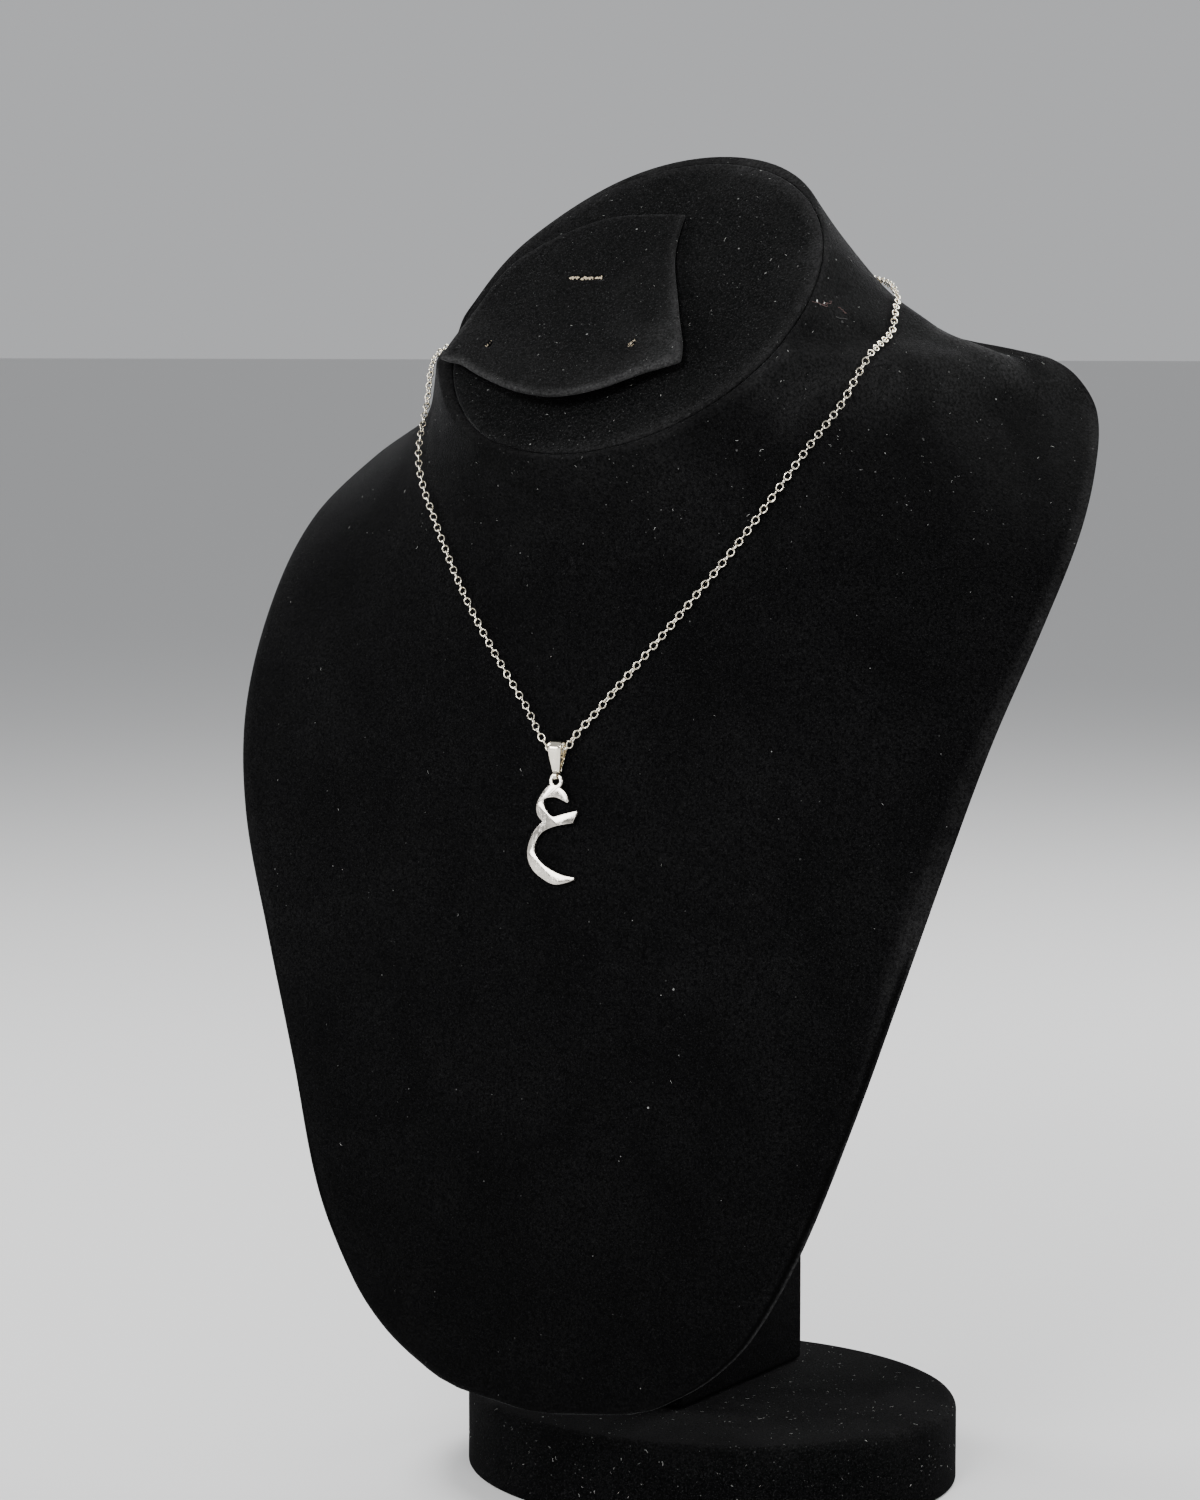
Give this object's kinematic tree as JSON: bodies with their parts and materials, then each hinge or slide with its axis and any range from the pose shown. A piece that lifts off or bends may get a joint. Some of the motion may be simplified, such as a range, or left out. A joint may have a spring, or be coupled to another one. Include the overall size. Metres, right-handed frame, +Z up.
{
  "type": "initial pendant on neck bust",
  "caption": "Cut-out letter pendant on a bail and fine cable chain, hung round a black velvet neck bust with an earring flap, a post and an oval foot.",
  "frame": {"origin": "middle of the oval foot's underside, on the table", "axes": "+Z up; the bust faces -Y; +X is to the right of someone facing the bust"},
  "size_m": [0.2142, 0.137, 0.324],
  "materials": {
    "black_velvet": "short matt pile with a soft grey sheen",
    "polished_steel": "polished, with fine scratches"
  },
  "bodies": {
    "bust": {"torso": "black_velvet", "neck_top": "black_velvet", "earring_flap": "black_velvet", "post": "black_velvet", "foot": "black_velvet", "chain": "polished_steel", "clasp": "polished_steel"},
    "pendant": {"bail": "polished_steel", "letter": "polished_steel"}
  },
  "joints": [
    {"name": "pendant_swing", "type": "hinge", "parent": "bust", "child": "pendant", "pos_m": [0, -0.0705, 0.1858], "axis": [-1, 0, 0], "range_deg": [0, 60]}
  ]
}
